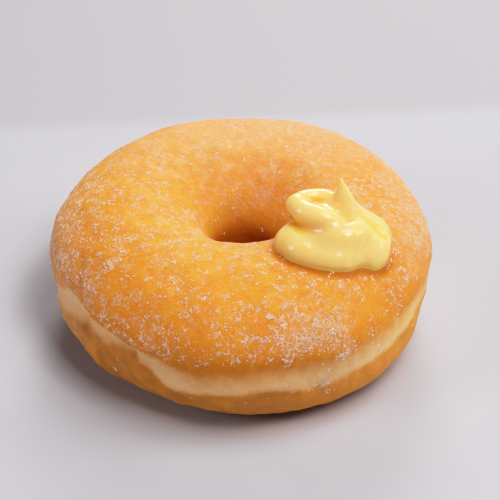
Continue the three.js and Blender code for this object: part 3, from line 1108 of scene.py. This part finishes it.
def sugar_material(finishes, name):
    """Grains from clear to white, with painted light making them whitest low down and on the left,
    where they lie in shade.
    """
    material, tree, surface, own_place = new_material(name)
    colour = mix_colour(tree, value_of(tree, "whiteness"), finishes.clear_sugar, finishes.sugar)
    colour = mix_colour(tree, value_of(tree, "shade_lift"), colour, finishes.shade_lifted_sugar)
    frosting = patches(tree, own_place, 0.0011)["Height"]
    feed(tree, surface, {"Base Color": colour, "IOR": 1.54,
                         "Roughness": ramp(tree, frosting, 0.3, 0.7, 0.3, 0.6)})
    return material


class DOUGHNUT_OT_sugar(bpy.types.Operator):
    """Sprinkles three sizes of sugar over the crust"""

    bl_idname = "doughnut.sugar"
    bl_label = "Sugar coat"

    def execute(self, context):
        dough = bpy.data.objects["fried_dough_ring"].data
        for kind, (grain, small, large, sharpness, forward, seed) in SUGAR_KINDS.items():
            count = getattr(context.scene.sugar_amounts, kind)
            shape, faces = (np.array(part) for part in grain)
            rng = np.random.default_rng(seed)
            place, normal = sprinkle(rng, dough, count, sharpness, forward)
            size = small + (large - small) * rng.random(count) ** 1.6  # mostly small
            stretch = rng.uniform(*GRAIN_STRETCH, (count, 1, 3))
            grains = laid_flat(rng, shape * size[:, None, None] * stretch, normal)
            grains += (place + normal * size[:, None] * GRAIN_LIFT)[:, None]
            points = grains.reshape(-1, 3)
            points[:, 2] = np.maximum(points[:, 2], 0.0)
            first = np.arange(count)[:, None, None] * len(shape)
            piece = new_piece("sugar_" + kind, points, (faces + first).reshape(-1, 3),
                              sugar_material(context.scene.finishes, "sugar " + kind))
            give_map(piece, grain_map(count, len(faces)))
            give_values(piece, "whiteness", np.repeat(rng.random(count) ** 1.5, len(shape)))
            give_values(piece, "shade_lift", np.repeat(shade_lift_at(place), len(shape)))
            show_as(piece, "sugar")
        return {"FINISHED"}


# ---------- stage ----------

CAMERA_PLACE = (0.00086, -0.35706, 0.2934)  # in metres
CAMERA_AIM = (0.0025, 0.00119, 0.0211)
CAMERA_LENS = 122.5
CAMERA_SENSOR = 36.0

# Each soft light: which way it lies round the doughnut and how high, in degrees, and its power.
STUDIO_LIGHTS = (
    ("key", -45.0, 60.0, 3.80), ("key_side", 5.0, 60.0, 1.3), ("top", 0.0, 76.0, 1.8),
    ("side", 0.0, 28.0, 1.75), ("back", 90.0, 44.0, 1.45), ("low_back", 84.0, 28.0, 2.75),
    ("fill", -155.0, 30.0, 1.95),
)
LIGHT_DISTANCE = 0.9  # in metres
LIGHT_SIZE = 0.30
LIGHT_AIM = (0.0, 0.0, 0.01)
SKY_COLOUR = (0.95, 0.95, 1.0, 1.0)
SKY_STRENGTH = 0.01

# The picture's contrast: scene brightness and how bright it is shown, both linear.
BRIGHTEST = 2.0
CONTRAST = ((0.033, 0.022), (0.214, 0.214), (0.604, 0.674), (1.0, 0.90))

# The studio is a shallow round bowl, so every view has a plain pale background.
FLOOR_RADIUS = 1100.0  # in millimetres
BEND_RADIUS = 300.0
WALL_HEIGHT = 700.0
FLOOR_STEPS = 8
BEND_STEPS = 12
STAGE_SIDES = 96
CLOUD_TINGE = (0.96, 0.96, 0.96)  # the floor's soft clouds
BACK_EDGE = 97.0  # where the paler part of the floor ends behind the doughnut
BACK_EDGE_SLOPE = 0.075
BACK_TINGE = (0.87, 0.85, 0.84)
BOUNCE_EDGE = 43.0  # painted bounce light: the floor takes a warm tinge from the dough right beside it
BOUNCE_REACH = 52.0
BOUNCE_TINGE = (1.0, 0.91, 0.87)


def studio_material(finishes):
    """A plain matt floor, softly clouded, darker past its back edge and with painted warm bounce
    light by the doughnut.
    """
    material, tree, surface, own_place = new_material("studio floor")
    cloud = patches(tree, own_place, 0.05, 0.3, 0.7)
    colour = mix_colour(tree, cloud["Mask"], finishes.floor, tinted(finishes.floor, CLOUD_TINGE))
    axes = place_node(tree, "ShaderNodeSeparateXYZ", {0: own_place}).outputs
    past = maths(tree, "SUBTRACT", axes["Y"],
                 maths(tree, "MULTIPLY_ADD", axes["X"], BACK_EDGE_SLOPE, BACK_EDGE * MM))
    colour = mix_colour(tree, ramp(tree, past, -0.004, 0.006), colour,
                        tinted(finishes.floor, BACK_TINGE))
    away = place_node(tree, "ShaderNodeVectorMath", {0: own_place}, operation="LENGTH")
    # Painted warm bounce light from the dough on the floor right beside it.
    beside = ramp(tree, away.outputs["Value"], BOUNCE_REACH * MM, BOUNCE_EDGE * MM)
    colour = mix_colour(tree, beside, colour, tinted(finishes.floor, BOUNCE_TINGE))
    feed(tree, surface, {"Base Color": colour, "Roughness": 0.7, "Specular IOR Level": 0.2})
    return material


def aimed(name, data, place, aim):
    """A light or camera at a place in metres, pointed at another."""
    thing = bpy.data.objects.new(name, data)
    thing.location = place
    thing.rotation_euler = (Vector(aim) - Vector(place)).to_track_quat("-Z", "Y").to_euler()
    bpy.context.scene.collection.objects.link(thing)
    return thing


def soft_light(name, turn, lift, power):
    """A square soft light, turned round the doughnut and lifted by angles in degrees."""
    lamp = bpy.data.lights.new(name, "AREA")
    lamp.size = LIGHT_SIZE
    lamp.energy = power
    turn, lift = math.radians(turn), math.radians(lift)
    out = Vector((math.cos(lift) * math.cos(turn), math.cos(lift) * math.sin(turn), math.sin(lift)))
    aimed(name, lamp, LIGHT_DISTANCE * out, LIGHT_AIM)


def bowl_mesh():
    """The studio's points and triangles: a flat floor, a bend and a wall, all round."""
    bend = np.arange(BEND_STEPS + 1) / BEND_STEPS * (math.pi / 2)
    radius = np.r_[np.linspace(0.0, FLOOR_RADIUS, FLOOR_STEPS + 1)[1:-1],
                   FLOOR_RADIUS + BEND_RADIUS * np.sin(bend), FLOOR_RADIUS + BEND_RADIUS]
    height = np.r_[np.zeros(FLOOR_STEPS - 1), BEND_RADIUS * (1 - np.cos(bend)), WALL_HEIGHT]
    angle = np.arange(STAGE_SIDES) / STAGE_SIDES * 2 * math.pi
    rings = rings_of(radius[:, None], angle, height[:, None])
    points = np.vstack([rings.reshape(-1, 3), np.zeros((1, 3))])
    first = np.arange(len(radius) - 1)[:, None] * STAGE_SIDES + np.arange(STAGE_SIDES)
    right = np.roll(first, -1, axis=1)
    quads = np.stack([first, first + STAGE_SIDES, right + STAGE_SIDES, right], 2).reshape(-1, 4)
    middle = np.stack([np.full(STAGE_SIDES, len(points) - 1), first[0], right[0]], 1)
    return points, np.vstack([quads[:, [0, 1, 2]], quads[:, [0, 2, 3]], middle])


def set_contrast(view):
    """Deeper darks and gently held-back highlights, as in a studio picture."""
    view.view_transform = "Standard"
    view.use_curve_mapping = True
    mapping = view.curve_mapping
    mapping.white_level = (BRIGHTEST, BRIGHTEST, BRIGHTEST)
    curve = mapping.curves[3]
    curve.points[0].location = (0.0, 0.0)
    curve.points[1].location = (1.0, 1.0)
    for level, shown in CONTRAST:
        curve.points.new(level / BRIGHTEST, shown)
    mapping.update()


class DOUGHNUT_OT_stage(bpy.types.Operator):
    """Sets up the pale floor and wall, the soft lights and the camera"""

    bl_idname = "doughnut.stage"
    bl_label = "Studio"

    def execute(self, context):
        scene = context.scene
        floor = new_piece("studio_floor", *bowl_mesh(), studio_material(scene.finishes))

        for light in STUDIO_LIGHTS:
            soft_light(*light)
        scene.world = bpy.data.worlds.new("studio")
        scene.world.use_nodes = True
        sky = scene.world.node_tree.nodes["Background"].inputs
        sky["Color"].default_value = SKY_COLOUR
        sky["Strength"].default_value = SKY_STRENGTH

        lens = bpy.data.cameras.new("camera")
        lens.lens = CAMERA_LENS
        lens.sensor_width = CAMERA_SENSOR
        scene.camera = aimed("camera", lens, CAMERA_PLACE, CAMERA_AIM)
        set_contrast(scene.view_settings)
        return {"FINISHED"}


# ---------- panel and running ----------


class DOUGHNUT_PT_builder(bpy.types.Panel):
    """Lists the sizes, amounts and colours, and a button for each operator"""

    bl_idname = "DOUGHNUT_PT_builder"
    bl_label = "Ring doughnut"
    bl_space_type = "VIEW_3D"
    bl_region_type = "UI"
    bl_category = "Doughnut"

    def draw(self, context):
        scene = context.scene
        for group in (scene.dough_sizes, scene.custard_sizes, scene.sugar_amounts, scene.finishes):
            for name in group.__annotations__:
                self.layout.prop(group, name)
        for operator in OPERATORS:
            self.layout.operator(operator.bl_idname)


OPERATORS = (DOUGHNUT_OT_stage, DOUGHNUT_OT_dough, DOUGHNUT_OT_custard, DOUGHNUT_OT_sugar)
GROUPS = {"dough_sizes": DoughSizes, "custard_sizes": CustardSizes,
          "sugar_amounts": SugarAmounts, "finishes": Finishes}


def register():
    for group in GROUPS.values():
        bpy.utils.register_class(group)
    for name, group in GROUPS.items():
        setattr(bpy.types.Scene, name, bpy.props.PointerProperty(type=group))
    for operator in OPERATORS:
        bpy.utils.register_class(operator)
    bpy.utils.register_class(DOUGHNUT_PT_builder)


def unregister():
    bpy.utils.unregister_class(DOUGHNUT_PT_builder)
    for operator in reversed(OPERATORS):
        bpy.utils.unregister_class(operator)
    for name in GROUPS:
        delattr(bpy.types.Scene, name)
    for group in reversed(list(GROUPS.values())):
        bpy.utils.unregister_class(group)


def main():
    register()
    bpy.ops.doughnut.stage()
    bpy.ops.doughnut.dough()
    bpy.ops.doughnut.custard()
    bpy.ops.doughnut.sugar()


if __name__ == "__main__":
    main()
